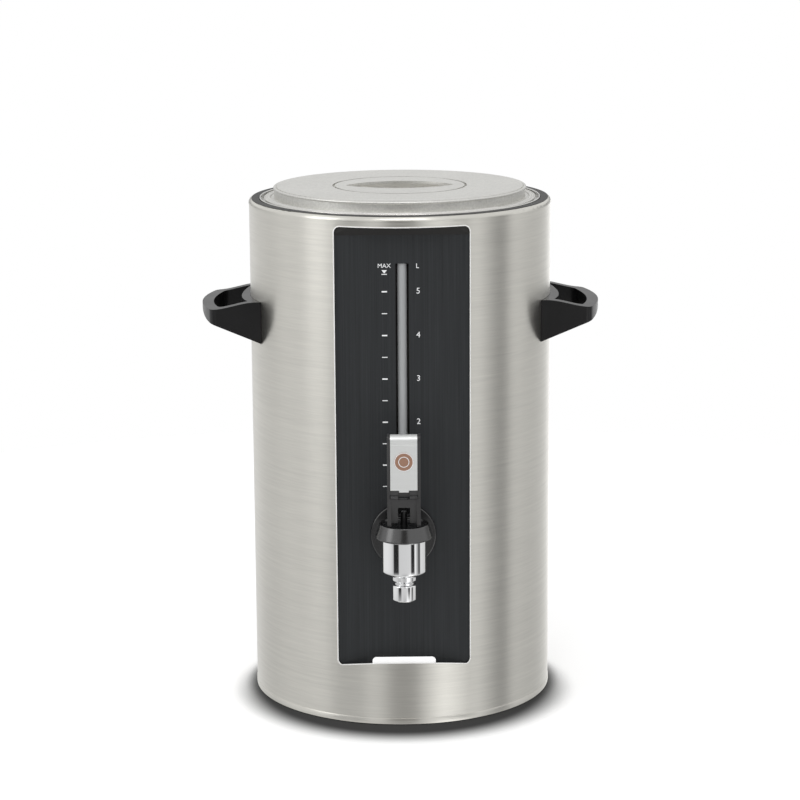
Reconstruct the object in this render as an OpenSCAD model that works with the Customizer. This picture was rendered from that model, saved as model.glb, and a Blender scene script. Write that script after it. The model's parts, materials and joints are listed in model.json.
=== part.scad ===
// Insulated drinks urn: a round double-walled steel container with a flat front panel,
// a sight gauge, a self-closing lever tap, two side handles and a lift-off lid.
// Millimetres. +Z up, the tap towards -Y. Heights are measured from the table, radii from
// the tank's axis; place() then moves the whole onto the middle of its footprint.

/* [Tank] */
// Inner radius of the tank; one litre stands 1e6 / (PI * tank_r^2) mm high
tank_r = 96.9; // [94:0.1:105]
// Sheet thickness of the tank
tank_t = 0.8; // [0.6:0.1:1.2]
// Rise of the tank floor, at the wall, above the tap's axis
floor_rise = 21; // [20:1:40]
// Fall of the tank floor from the wall to the middle
floor_fall = 4; // [2:0.5:5]
// Depth of the sump's floor below the tap's axis
sump_drop = 22; // [18:1:30]
// Width of the sump
sump_w = 52; // [44:1:70]
// Front-to-back length of the sump
sump_l = 34; // [26:1:50]
// Width of the flange round the tank's mouth
mouth_flange = 12.7; // [10:0.1:14]
// Depth of that flange below the shell's top edge
mouth_sink = 2.7; // [2:0.1:4]

/* [Shell] */
// Height of the shell's top edge above the table
body_h = 401; // [386:1:451]
// Sheet thickness of the shell
shell_t = 1; // [0.8:0.1:1.5]
// Space between the tank and the shell
wall_gap = 21.3; // [20:0.1:26]
// Outer radius of the rolled top edge
hem_r = 3.6; // [1.6:0.1:4]
// Overhang of that edge beyond the wall
edge_over = 0.4; // [0:0.1:0.8]
// Height of the folded hem at the foot of the shell
foot_hem = 8; // [5:1:14]
// Clearance under the shell
shell_lift = 0.8; // [0.5:0.1:3]

/* [Top ring] */
// Height of the ring's crown above the shell's top edge
ring_crown = 0.2; // [0.2:0.1:1]
// Lap of the ring on the shell's rolled edge
ring_lap = 1.2; // [0.5:0.1:1.5]
// Depth of the ring's web inside the shell
ring_depth = 5.5; // [5:0.1:9]

/* [Window and panel] */
// Distance from the foot of the top ring down to the window
window_drop = 2.9; // [2:0.1:15]
// Height of the window's lower corners above the table
sill_h = 46.6; // [40:0.1:60]
// Slope of the window's lower edge, falling towards the panel
sill_slope = 21.9; // [10:0.1:30]
// Corner radius of the window
window_corner = 4.5; // [2:0.1:10]
// Lap of the panel behind each side of the window
panel_lap = 1.2; // [0.8:0.1:3]
// Thickness of the panel
panel_t = 1; // [0.8:0.1:2]
// Height of the sloping lip that shows above the panel
lip_h = 7; // [4:0.1:12]
// Width of the notch at the panel's foot
notch_w = 49.6; // [30:0.1:70]
// Height of the notch above the window's lower corners
notch_h = 5.1; // [3:0.1:10]

/* [Sight gauge] */
// Outer diameter of the sight glass
tube_d = 7.6; // [6:0.1:9]
// Wall of the sight glass
tube_wall = 1; // [0.8:0.1:1.2]
// Width of the slot in front of the sight glass
slot_w = 10.4; // [9.6:0.1:14]
// Distance from the panel's top edge down to the slot
slot_drop = 22; // [16:0.5:40]
// Height of the slot's lower end above the tap's axis
slot_rise = 30; // [28:1:50]

/* [Tap] */
// Height of the tap's axis above the table
tap_h = 151; // [140:1:165]
// Reach of the valve's axis in front of the panel
tap_reach = 32.5; // [28:0.5:45]
// Diameter of the threaded shank
shank_d = 20; // [18:0.5:22]
// Diameter of the washer between the tap and the panel
rosette_d = 51.2; // [42:0.1:60]
// Thickness of that washer
rosette_t = 3; // [2:0.1:5]
// Diameter of the valve body
valve_d = 34.4; // [31:0.1:38]
// Diameter of the neck under the valve body
neck_d = 15.6; // [13.6:0.1:16.4]
// Diameter of the nozzle
nozzle_d = 18.9; // [18.2:0.1:22]
// Length of the nozzle
nozzle_l = 12.6; // [9:0.1:25]
// Largest diameter of the bonnet
bonnet_d = 43.8; // [41:0.1:48]
// Diameter of the bonnet at its top
bonnet_top_d = 37.8; // [36.6:0.1:39.6]
// Diameter of the valve stem
stem_d = 5; // [4.6:0.1:6]

/* [Lever] */
// Width of the lever
lever_w = 25.4; // [24:0.1:26]
// Height of the lever's top above its pivot
lever_h = 63.8; // [55:0.1:90]
// Thickness of the cheeks beside the stem
cheek_t = 3; // [2.5:0.1:4]
// Distance from the pivot down to the foot of the cheeks
foot_drop = 7.9; // [6:0.1:9]
// Half-length of the flat foot that rolls on the bonnet
foot_half = 8; // [5:0.5:8]
// Radius of the bend at the top of the lever
lever_bend = 5; // [3:0.5:5]
// Diameter of the badge
badge_d = 14.6; // [10:0.1:18]
// Diameter of the pivot pin
pin_d = 2.5; // [2:0.1:2.8]

/* [Handles] */
// Depth of the handles' top, at the shell, below the shell's top edge
handle_drop = 76.6; // [60:0.2:120]
// Reach of the handles beyond the shell
handle_reach = 38.5; // [34:0.5:50]
// Width of the handles
handle_w = 96; // [86:1:110]
// Thickness of the grip bow
grip_t = 9; // [7:0.5:12]
// Thickness of the base that hugs the shell
handle_base = 7; // [6:0.5:10]
// Height of the handles at the shell
root_h = 33.4; // [28:0.1:45]
// Fall of the handles' top from the shell to the tip
crown_fall = 5.7; // [0:0.1:8]
// Rise of the underside per millimetre of reach
under_slope = 0.415; // [0.2:0.005:0.45]

/* [Lid] */
// Height of the lid's top above the shell's top edge
lid_rise = 9; // [7:0.5:19]
// Radius of the rolled lip round the lid's top
lip_roll = 1.2; // [1:0.1:1.4]
// Sheet thickness of the lid
lid_t = 1; // [0.8:0.1:1.2]
// Depth of the lid's plug in the tank's mouth
plug_h = 17; // [15:0.5:40]
// Radius of the round grip plate
grip_r = 51.7; // [48:0.1:60]
// Width of the groove round the grip plate
grip_groove = 1.8; // [1:0.1:3]
// Half-length of the lens-shaped finger opening
lens_half = 43; // [36:0.5:44]
// Reach of the finger opening in front of the middle
lens_front = 20; // [14:0.1:24]
// Reach of the finger opening behind the middle
lens_back = 24.6; // [14:0.1:28]

/* [Hidden] */
$fn = 96;

// Clearances: between parts of one body, between bodies that part, and round the pivot pin
fit = 0.2;
seat = 0.3;
run = 0.05;
big = 500;

// Radii from the tank outwards
tank_ro = tank_r + tank_t;
shell_ri = tank_ro + wall_gap;
shell_r = shell_ri + shell_t;
rim_in = tank_ro + mouth_flange;
rim_roll = 0.7;
rim_out = rim_in + 2 * rim_roll;

// Distances in front of the axis, from the tank to the valve
tube_gap = 0.1;
gauge_y = tank_ro + tube_gap + tube_d / 2;
frame_front = gauge_y + tube_d / 2 + tube_gap;
plate_front = frame_front + panel_t;
plate_half = sqrt(pow(shell_ri - fit, 2) - pow(plate_front, 2));
window_half = plate_half - panel_lap;
foam_skin = 0.8;
foam_front = tank_ro + seat + foam_skin;
valve_y = plate_front + tap_reach;
axis_back = shell_r + edge_over;
edge_c = axis_back - hem_r;
place_y = (valve_y + bonnet_d / 2 - axis_back) / 2;

// Heights of the mouth and the lid
flange_top = body_h - mouth_sink;
flange_under = flange_top - tank_t;
rim_top = body_h + ring_crown + rim_roll;
pan_t = 0.8;
seal_t = 0.8;
lid_flange = flange_top + seat + seal_t + pan_t;
lid_top = body_h + lid_rise;
plug_floor = lid_flange - plug_h;
cup_foot = plug_floor + pan_t + 6;
lid_wall_r = tank_ro + 2.1;
lid_edge_r = rim_in - 2.5;
foam_top = body_h - ring_depth - seat;

// Heights of the window and the panel
window_top = body_h - ring_depth - window_drop;
plate_top = window_top - lip_h;
plate_foot = sill_h - 3;
notch_top = sill_h + notch_h;
frame_foot = sill_h + 15;
sill_half = 40;
sill_foot = sill_h - 7;
frame_t = 2;

// Tank floor and sump
floor_z = tap_h + floor_rise;
sump_floor = tap_h - sump_drop;
tee_depth = 15.3;
tee_front = frame_front - fit;
tee_back = tee_front - tee_depth;
washer_t = 1.8;
sump_front = tee_back - washer_t - tank_t;
sump_corner = 8;
nut_t = 8;
nut_af = shank_d + 7;
shank_end = sump_front - washer_t - nut_t - 4;

// Sight gauge
tee_top = tap_h + 12.5;
tee_half = shank_d / 2 + 4;
seal_ring = 1;
tube_foot = tee_top + seal_ring;
slot_top = plate_top - slot_drop;
slot_foot = tap_h + slot_rise;
tube_top = slot_top + 4;
cap_foot = tube_top + seal_ring;
cap_h = 10;
cap_half = tube_d / 2 + 3;
spigot_r = tube_d / 2 - tube_wall - tube_gap;

// Valve: heights from the tap's axis
valve_top = 5.7;
shoulder = -19.3;
collar_top = -22.6;
collar_foot = -26.6;
collar_r = neck_d / 2 + 1.8;
neck_foot = -30;
seat_z = -16.5;
seat_r = 7;
cup_r = seat_r + 1;
cavity_r = valve_d / 2 - 2.85;
outlet_r = 4.5;
water_r = 5;
passage_r = 3.6;
tail_r = neck_d / 2 - 0.8;
tail_foot = neck_foot - 6;
nozzle_top = neck_foot - seat;
nozzle_foot = nozzle_top - nozzle_l;
dish_z = 15.9;
bonnet_top = dish_z + 2;
gland_z = dish_z - 5;
skirt_foot = 3.8;
ceiling = 8.5;
stem_collar = -6.5;
stem_bore = stem_d / 2 + run;

// Lever: pivot height from the tap's axis, places from the pivot
pivot_z = dish_z + seat + foot_drop;
cam_r = 3;
rim_t = 1.9;
face_y = 6.5;
insert_t = 1.2;
insert_foot = 20.8;
insert_half = lever_w / 2 - 2.4;
web_t = 2.8;
rib_foot = 13;
badge_z = 43.1;
badge_t = 0.4;

// Handles
handle_top = body_h - handle_drop;
tip_r = 130;
tip_corner = 6;
tip_x = shell_r + handle_reach;
screw_z = handle_top - root_h / 2;
screw_y = 20;
screw_r = 2.4;
block_t = 4.5;
block_in = shell_ri - block_t;
block_half = 30;
block_h = 20;

// Feet and base plate
foot_h = 6;
foot_r = 12;
foot_ring = shell_ri - 21;
base_z = foot_h;
base_rim = 10;
foot_screw_r = 2;

// Moves everything from the tank's axis onto the middle of the footprint
module place() translate([0, place_y, 0]) children();

// Lays a child's +Z along -Y, with its origin on the tap's axis at distance y
module forward(y, z = tap_h) translate([0, -y, z]) rotate([90, 0, 0]) children();

module on_valve() translate([0, -valve_y, tap_h]) children();
module on_pivot() translate([0, -valve_y, tap_h + pivot_z]) children();

module tube(r_out, r_in, h) {
    difference() {
        cylinder(r = r_out, h = h);
        translate([0, 0, -1]) cylinder(r = r_in, h = h + 2);
    }
}

module rounded_rect(w, l, r) {
    square([w - 2 * r, l], center = true);
    square([w, l - 2 * r], center = true);
    for (x = [-1, 1], y = [-1, 1])
        translate([x * (w / 2 - r), y * (l / 2 - r)]) circle(r = r, $fn = 48);
}

// Quarter of a ring, in the first quadrant of the plane
module quarter_ring(r, t) {
    intersection() {
        difference() {
            circle(r = r, $fn = 48);
            circle(r = r - t, $fn = 48);
        }
        square(r);
    }
}

// A block that spans |x| < half between two distances in front of the axis
module front_block(half, y_front, y_back, z_low, z_high) {
    translate([-half, -y_front, z_low]) cube([2 * half, y_front - y_back, z_high - z_low]);
}

// ---- Shell, ring, tank ----

module outer_shell() color([0.76, 0.75, 0.72]) difference() {
    rotate_extrude($fn = 180) {
        translate([shell_ri, shell_lift]) square([shell_t, body_h - hem_r + 0.3 - shell_lift]);
        translate([edge_c, body_h - hem_r]) quarter_ring(hem_r, shell_t);
        translate([edge_c - 1.5, body_h - shell_t]) square([1.5, shell_t]);
        translate([shell_ri - shell_t, shell_lift]) square([shell_t, foot_hem]);
    }
    window_cut();
    for (side = [-1, 1], y = [-1, 1])
        translate([side * (shell_r - 10), y * screw_y, screw_z]) rotate([0, side * 90, 0])
            cylinder(r = screw_r + fit, h = 20, $fn = 24);
}

// The window: a rounded opening whose lower edge falls towards the panel
module window_cut() {
    corner_y = sqrt(pow(shell_r, 2) - pow(window_half, 2));
    mid = (window_top + sill_h) / 2;
    intersection() {
        translate([0, -shell_r / 2, 0]) rotate([90, 0, 0]) linear_extrude(height = shell_r)
            translate([0, mid]) rounded_rect(2 * window_half, window_top - sill_h, window_corner);
        translate([-shell_r, -corner_y, sill_h]) rotate([-sill_slope, 0, 0])
            translate([0, -big, 0]) cube([2 * shell_r, 2 * big, 2 * big]);
    }
}

// Joins the shell to the tank's mouth and laps on the shell's rolled edge
module top_ring() color([0.13, 0.13, 0.13]) {
    web_r = edge_c - 1.5 - fit;
    in_r = rim_out + fit;
    crown = body_h + ring_crown;
    ledge_r = tank_ro + 6;
    on_edge = function (x) body_h - hem_r + sqrt(pow(hem_r, 2) - pow(x, 2)) + run;
    rotate_extrude($fn = 180) polygon(concat(
        [[in_r, crown - 0.3], [in_r + 0.5, crown], [edge_c + ring_lap - 0.5, crown],
            [edge_c + ring_lap, crown - 0.1]],
        [for (i = [4 : -1 : 0]) [edge_c + ring_lap * i / 4, on_edge(ring_lap * i / 4)]],
        [[web_r, body_h + run], [web_r, body_h - ring_depth], [ledge_r, body_h - ring_depth],
            [ledge_r, flange_under], [in_r, flange_under]]
    ));
}

// The tank's wall with its mouth flange and rolled rim
module inner_tank() color([0.8, 0.8, 0.79]) rotate_extrude($fn = 180) {
    translate([tank_r, floor_z]) square([tank_t, flange_top - floor_z]);
    translate([tank_r, flange_under]) square([rim_in + tank_t - tank_r, tank_t]);
    translate([rim_in, flange_under]) square([tank_t, rim_top - rim_roll - flange_under]);
    translate([rim_in + rim_roll, rim_top - rim_roll]) circle(r = rim_roll, $fn = 32);
}

// The drawn floor that the wall stands on, with the sump and the tap's hole
module tank_floor() color([0.8, 0.8, 0.79]) difference() {
    union() {
        rotate_extrude($fn = 180) polygon([
            [0, floor_z - floor_fall - tank_t], [tank_ro, floor_z - tank_t],
            [tank_ro, floor_z], [0, floor_z]
        ]);
        sump(tank_t, floor_z);
    }
    rotate_extrude($fn = 180)
        polygon([[0, floor_z - floor_fall], [tank_r, floor_z], [tank_r, floor_z + 1], [0, floor_z + 1]]);
    sump(0, floor_z);
    forward(sump_front - 5) cylinder(r = shank_d / 2 + fit, h = 10);
}

// The pocket at the front of the tank floor, grown on every side by a wall thickness
module sump(grow, top) {
    translate([0, -(sump_front - sump_l / 2), sump_floor - grow])
        linear_extrude(height = top - sump_floor + grow)
            rounded_rect(sump_w + 2 * grow, sump_l + 2 * grow, sump_corner + grow);
}

module insulation() color([0.93, 0.88, 0.7]) difference() {
    translate([0, 0, base_z + base_rim + 2]) cylinder(
        r = shell_ri - 2 * fit, h = foam_top - base_z - base_rim - 2, $fn = 180);
    rotate_extrude($fn = 180) polygon([
        [0, floor_z - floor_fall - tank_t - seat], [tank_ro + seat, floor_z - tank_t - seat],
        [tank_ro + seat, body_h], [0, body_h]
    ]);
    sump(tank_t + seat, floor_z);
    front_block(big, shell_r + 1, foam_front, sill_h - 8, body_h);
    front_block(tee_half + 0.5, foam_front + 1, sump_front, tap_h - tee_half - 0.5, floor_z);
    front_block(tube_d / 2 + 1, foam_front + 1, tank_r, floor_z - 1, body_h);
    for (side = [-1, 1]) translate([side * (shell_ri - block_t / 2), 0, screw_z])
        cube([block_t + 6, 2 * block_half + 1, block_h + 1], center = true);
}

module base_plate() color([0.7, 0.7, 0.7]) difference() {
    rim_r = shell_ri - shell_t - fit;
    union() {
        translate([0, 0, base_z]) cylinder(r = rim_r, h = 1, $fn = 180);
        translate([0, 0, base_z]) tube(rim_r, rim_r - 1, base_rim, $fn = 180);
    }
    at_feet() translate([0, 0, base_z - 1]) cylinder(r = foot_screw_r + run, h = 3, $fn = 24);
}

module at_feet() {
    for (a = [45 : 90 : 315]) rotate(a) translate([foot_ring, 0, 0]) children();
}

module feet() color([0.08, 0.08, 0.08]) at_feet() difference() {
    union() {
        cylinder(r = foot_r - 0.8, h = 0.8, $fn = 64);
        translate([0, 0, 0.8]) cylinder(r = foot_r, h = foot_h - 0.8, $fn = 64);
    }
    translate([0, 0, -1]) cylinder(r = 4.6, h = 4, $fn = 32);
    cylinder(r = foot_screw_r + run, h = foot_h + 1, $fn = 24);
}

module foot_screws() color([0.6, 0.6, 0.6]) at_feet() {
    translate([0, 0, 1.2]) cylinder(r = 4, h = 1.8, $fn = 32);
    translate([0, 0, 2.9]) cylinder(r = foot_screw_r, h = foot_h + 1, $fn = 24);
}

// ---- Front panel ----

// The carrier of the panel, with a cradle on both sides of the sight glass
module front_frame() color([0.2, 0.19, 0.18]) {
    rib_back = foam_front + fit;
    sheet_back = frame_front - frame_t;
    cut_top = cap_foot + cap_h + fit;
    difference() {
        union() {
            front_block(plate_half, frame_front, sheet_back, frame_foot, plate_top);
            for (x = [-plate_half + 1.5, -30, -9.5, 9.5, 30, plate_half - 1.5]) translate([x, 0, 0])
                front_block(1, frame_front - 1, rib_back, frame_foot, plate_top);
            lip();
            front_block(slot_w / 2 + 1.5, frame_front - 0.5, rib_back, tee_top + fit, cap_foot - fit);
        }
        front_block(slot_w / 2, shell_r, gauge_y, tap_h, cut_top);
        translate([0, -gauge_y, tap_h]) cylinder(r = tube_d / 2 + 0.6, h = cut_top - tap_h, $fn = 48);
        front_block(cap_half + fit, shell_r, tank_r, cap_foot - fit, cut_top);
        front_block(tee_half + fit, shell_r, tank_r, tap_h - tee_half - fit, tee_top + fit);
    }
}

// The lip above the panel, which leans out under the window's upper edge
module lip() {
    intersection() {
        translate([-plate_half, 0, 0]) rotate([90, 0, 90]) linear_extrude(height = 2 * plate_half)
            polygon([
                [-frame_front + frame_t, plate_top], [-plate_front, plate_top],
                [-plate_front - 6, window_top + 0.5], [-plate_front - 6, foam_top],
                [-plate_front - 3, foam_top], [-frame_front + frame_t, plate_top + 3]
            ]);
        cylinder(r = shell_ri - fit, h = big, $fn = 180);
    }
}

module front_plate() color([0.17, 0.18, 0.19]) forward(frame_front, 0) difference() {
    linear_extrude(height = panel_t) difference() {
        translate([-plate_half, plate_foot]) square([2 * plate_half, plate_top - plate_foot]);
        translate([-slot_w / 2, slot_foot]) square([slot_w, slot_top - slot_foot]);
        translate([0, (plate_foot + notch_top) / 2 - notch_top / 2])
            rounded_rect(notch_w, notch_top + notch_top - plate_foot, 3);
    }
    translate([0, tap_h, -1]) cylinder(r = shank_d / 2 + fit, h = panel_t + 2);
}

module sill_insert() color([0.93, 0.93, 0.93]) {
    front_block(sill_half, frame_front - 0.1, foam_front + fit, sill_foot, frame_foot - seat);
    front_block(notch_w / 2 - 3.2, plate_front, frame_front - 1, plate_foot, notch_top - 0.1);
    front_block(notch_w / 2 - 0.1, plate_front, frame_front - 1, plate_foot, notch_top - 3.1);
}

// ---- Sight gauge ----

module gauge_tube() color([0.75, 0.78, 0.8, 0.6])
    translate([0, -gauge_y, tube_foot])
        tube(tube_d / 2, tube_d / 2 - tube_wall, tube_top - tube_foot, $fn = 48);

module gauge_tee() color([0.15, 0.15, 0.15]) difference() {
    union() {
        front_block(tee_half, tee_front, tee_back, tap_h - tee_half, tee_top);
        translate([0, -gauge_y, tee_top]) cylinder(r = spigot_r, h = 8, $fn = 32);
    }
    forward(tee_back - 1) cylinder(r = shank_d / 2 + 0.1, h = tee_depth + 2);
    translate([0, -gauge_y, tap_h]) cylinder(r = 1.5, h = big, $fn = 24);
}

module gauge_cap() color([0.15, 0.15, 0.15]) difference() {
    union() {
        front_block(cap_half, tee_front, foam_front + fit, cap_foot, cap_foot + cap_h);
        translate([0, -gauge_y, cap_foot - 8]) cylinder(r = spigot_r, h = 9, $fn = 32);
    }
    translate([0, -gauge_y, cap_foot - 9]) cylinder(r = 1, h = cap_h + 10, $fn = 24);
}

module gauge_seals() color([0.3, 0.3, 0.3]) {
    for (z = [tee_top, tube_top]) translate([0, -gauge_y, z])
        tube(tube_d / 2, spigot_r + tube_gap, seal_ring, $fn = 48);
}

// ---- Tap ----

module tap_rosette() color([0.16, 0.16, 0.17]) forward(plate_front) difference() {
    union() {
        cylinder(r = rosette_d / 2, h = rosette_t - 0.8);
        translate([0, 0, rosette_t - 0.8])
            cylinder(r1 = rosette_d / 2, r2 = rosette_d / 2 - 0.8, h = 0.8);
    }
    translate([0, 0, -1]) cylinder(r = shank_d / 2 + 0.1, h = rosette_t + 2);
}

// The upper half of the valve, with the arm and the shank that passes through the panel
module tap_body() color([0.88, 0.89, 0.9]) {
    flange_y = plate_front + rosette_t;
    arm_r = valve_top - 0.5;
    difference() {
        union() {
            on_valve() translate([0, 0, seat_z]) cylinder(r = valve_d / 2, h = valve_top - seat_z);
            forward(shank_end) cylinder(r = shank_d / 2, h = flange_y - shank_end + 1);
            forward(flange_y) cylinder(r = shank_d / 2 + 5, h = 3);
            forward(flange_y) cylinder(r = arm_r, h = valve_y - flange_y);
            forward(flange_y)
                cylinder(r1 = shank_d / 2 + 3, r2 = arm_r, h = valve_y - bonnet_d / 2 - 1 - flange_y);
        }
        on_valve() translate([0, 0, seat_z - 1]) cylinder(r = cavity_r, h = valve_top - seat_z + 2);
        forward(shank_end - 1) cylinder(r = passage_r, h = valve_y - shank_end + 1, $fn = 48);
        translate([0, -gauge_y, tap_h]) cylinder(r = 1.5, h = shank_d, $fn = 24);
    }
}

// The lower half of the valve: seat, shoulder, collar and the neck that takes the nozzle
module tap_spout() color([0.88, 0.89, 0.9]) on_valve() rotate_extrude() polygon([
    [outlet_r, tail_foot], [tail_r, tail_foot], [tail_r, neck_foot], [neck_d / 2, neck_foot],
    [neck_d / 2, collar_foot - 1.6], [collar_r, collar_foot], [collar_r, collar_top],
    [valve_d / 2 - 6.5, collar_top], [valve_d / 2 - 3.2, shoulder - 2.6],
    [valve_d / 2 - 0.7, shoulder - 0.9], [valve_d / 2, shoulder], [valve_d / 2, seat_z],
    [cavity_r, seat_z], [cavity_r, seat_z - 1.5], [seat_r, seat_z - 1.5], [seat_r, seat_z],
    [outlet_r, seat_z]
]);

module tap_nozzle() color([0.88, 0.89, 0.9]) on_valve() rotate_extrude() polygon([
    [tail_r + 0.1, nozzle_top], [nozzle_d / 2 - 0.6, nozzle_top], [nozzle_d / 2, nozzle_top - 0.6],
    [nozzle_d / 2, nozzle_foot + 1], [nozzle_d / 2 - 1, nozzle_foot], [water_r, nozzle_foot],
    [water_r, tail_foot - fit], [tail_r + 0.1, tail_foot - fit]
]);

module tap_bonnet() color([0.14, 0.14, 0.14]) on_valve() rotate_extrude() polygon([
    [stem_bore, ceiling], [stem_bore, gland_z], [stem_bore + 1.8, gland_z],
    [stem_bore + 1.8, gland_z + 2], [stem_bore, gland_z + 2], [stem_bore, dish_z],
    [bonnet_top_d / 2 - 2, dish_z], [bonnet_top_d / 2 - 0.9, bonnet_top - 0.4],
    [bonnet_top_d / 2 - 0.5, bonnet_top], [bonnet_top_d / 2, bonnet_top - 0.3],
    [bonnet_d / 2, valve_top + 2], [bonnet_d / 2 - 0.2, valve_top + 1.2],
    [valve_d / 2 + 1.5, valve_top], [cavity_r - 0.1, valve_top], [cavity_r - 0.1, skirt_foot],
    [cavity_r - 2, skirt_foot], [cavity_r - 2, ceiling]
]);

module stem_seal() color([0.35, 0.12, 0.1]) on_valve() translate([0, 0, gland_z + 0.1])
    tube(stem_bore + 1.7, stem_d / 2 + run, 1.8, $fn = 48);

module shank_nut() color([0.78, 0.74, 0.6]) forward(sump_front - washer_t - nut_t) difference() {
    cylinder(r = nut_af / 2 / cos(30), h = nut_t, $fn = 6);
    translate([0, 0, -1]) cylinder(r = shank_d / 2 + run, h = nut_t + 2);
}

module shank_seals() color([0.85, 0.85, 0.82]) {
    for (y = [tee_back - washer_t, sump_front - washer_t])
        forward(y) tube(shank_d / 2 + 4, shank_d / 2 + run, washer_t);
}

module valve_stem() color([0.12, 0.12, 0.12]) on_valve() difference() {
    union() {
        translate([0, 0, seat_z + 3]) cylinder(r = stem_d / 2, h = pivot_z + 3 - seat_z - 3, $fn = 48);
        translate([0, 0, stem_collar - 1.5]) cylinder(r = cavity_r - 4.5, h = 1.5);
    }
    translate([-stem_d, 0, pivot_z]) rotate([0, 90, 0])
        cylinder(r = pin_d / 2 + run, h = 2 * stem_d, $fn = 32);
}

module valve_cup() color([0.9, 0.9, 0.86]) on_valve() rotate_extrude() polygon([
    [0, seat_z + seat], [cup_r - 0.5, seat_z + seat], [cup_r, seat_z + 1], [cup_r, seat_z + 3],
    [5, seat_z + 4], [4.6, seat_z + 8], [stem_d / 2 + run, seat_z + 8],
    [stem_d / 2 + run, seat_z + 3], [0, seat_z + 3]
]);

// A wire swept along a helix of flat-ended turns
module return_spring() color([0.75, 0.75, 0.75]) {
    wire = 0.8;
    turns = 5;
    coil = cavity_r - 6.5;
    low = stem_collar + wire + 0.05;
    high = ceiling - wire - 0.05;
    sides = 8;
    steps = 20 * turns;
    points = [for (i = [0 : steps], j = [0 : sides - 1])
        let (a = 360 * turns * i / steps, b = 360 * j / sides, r = coil + wire * cos(b))
            [r * cos(a), r * sin(a), low + (high - low) * i / steps + wire * sin(b)]];
    walls = [for (i = [0 : steps - 1], j = [0 : sides - 1])
        let (k = (j + 1) % sides)
            [i * sides + j, i * sides + k, (i + 1) * sides + k, (i + 1) * sides + j]];
    ends = [[for (j = [sides - 1 : -1 : 0]) j], [for (j = [0 : sides - 1]) steps * sides + j]];
    on_valve() polyhedron(points, concat(walls, ends), convexity = 10);
}

// ---- Lever ----

module lever_frame() color([0.16, 0.16, 0.16]) on_pivot() difference() {
    in_half = lever_w / 2 - rim_t;
    web_half = lever_w / 2 - cheek_t;
    union() {
        for (side = [-1, 1]) translate([side * (lever_w / 2 - cheek_t / 2), 0, 0]) lever_cheek();
        for (side = [-1, 1]) translate([side * (lever_w / 2 - rim_t / 2), 0, 0]) side_slab(rim_t, [
            [-face_y, rib_foot], [0.5, rib_foot], [-0.5, lever_h], [-face_y + lever_bend, lever_h],
            [-face_y + lever_bend * 0.3, lever_h - lever_bend * 0.3], [-face_y, lever_h - lever_bend]
        ]);
        side_slab(2 * in_half + 1, [
            [-face_y + insert_t + 0.8, rib_foot + 4], [0, rib_foot + 4], [-0.8, lever_h - insert_t - 1],
            [-face_y + lever_bend - 1, lever_h - insert_t - 1],
            [-face_y + insert_t + 0.8, lever_h - lever_bend + 0.8]
        ]);
        side_slab(2 * web_half + 1, [
            [-face_y + 1, rib_foot], [-face_y, rib_foot + 1], [-face_y, rib_foot + 2.5],
            [-face_y + 2, rib_foot + 4], [-face_y + 2 + web_t, rib_foot + 4],
            [-face_y + 1 + web_t, rib_foot]
        ]);
        side_slab(2 * web_half + 1, [
            [-face_y - 0.4, -4.5], [-face_y + 0.5, rib_foot + 0.5],
            [-face_y + 0.5 + web_t, rib_foot + 0.5], [-face_y - 0.4 + web_t, -4.5]
        ]);
    }
    for (side = [-1, 1]) translate([side * lever_w / 2, 0, 0]) rotate([0, -side * 90, 0])
        translate([0, 0, 1]) cylinder(r = pin_d / 2 + run, h = cheek_t, $fn = 32);
    translate([-stem_d / 2 - 2.1, -big / 2, -foot_drop - 1])
        cube([stem_d + 4.2, big / 2 - 3, foot_drop + 8.3]);
    translate([-4.4, -big / 2, rib_foot + 1]) cube([8.8, big / 2 - 2.2, 7]);
}

// Extrudes a side outline of [y, z] points across the lever
module side_slab(w, outline) {
    translate([-w / 2, 0, 0]) rotate([90, 0, 90]) linear_extrude(height = w) polygon(outline);
}

// A cheek with a rounded foot that rolls on the bonnet as the lever tilts
module lever_cheek() {
    translate([-cheek_t / 2, 0, 0]) rotate([90, 0, 90]) linear_extrude(height = cheek_t) hull() {
        for (y = [-1, 1]) translate([y * foot_half, -foot_drop + cam_r]) circle(r = cam_r, $fn = 32);
        translate([-face_y, rib_foot]) square([7, 1]);
    }
}

module lever_insert() color([0.84, 0.85, 0.84]) on_pivot() {
    bend = lever_bend;
    top = lever_h - 0.4;
    translate([-insert_half, 0, 0]) rotate([90, 0, 90]) linear_extrude(height = 2 * insert_half) {
        difference() {
            translate([-face_y, insert_foot]) square([insert_t, top - bend - insert_foot]);
            translate([-face_y - 1, top - bend - 2.1]) square([1.25, 0.7]);
        }
        translate([-face_y + bend, top - bend]) mirror([1, 0]) quarter_ring(bend, insert_t);
        translate([-face_y + bend, top - insert_t]) square([0.6, insert_t]);
    }
    translate([-3.7, -face_y, insert_foot - 1.5]) cube([7.4, insert_t, 2]);
}

module lever_badge() color([0.69, 0.52, 0.43]) on_pivot()
    translate([0, -face_y, badge_z]) rotate([90, 0, 0]) cylinder(r = badge_d / 2, h = badge_t, $fn = 64);

module lever_pin() color([0.25, 0.25, 0.26]) on_pivot()
    translate([-lever_w / 2 + 1.2, 0, 0]) rotate([0, 90, 0])
        cylinder(r = pin_d / 2, h = lever_w - 2.4, $fn = 32);

// ---- Handles ----

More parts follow.
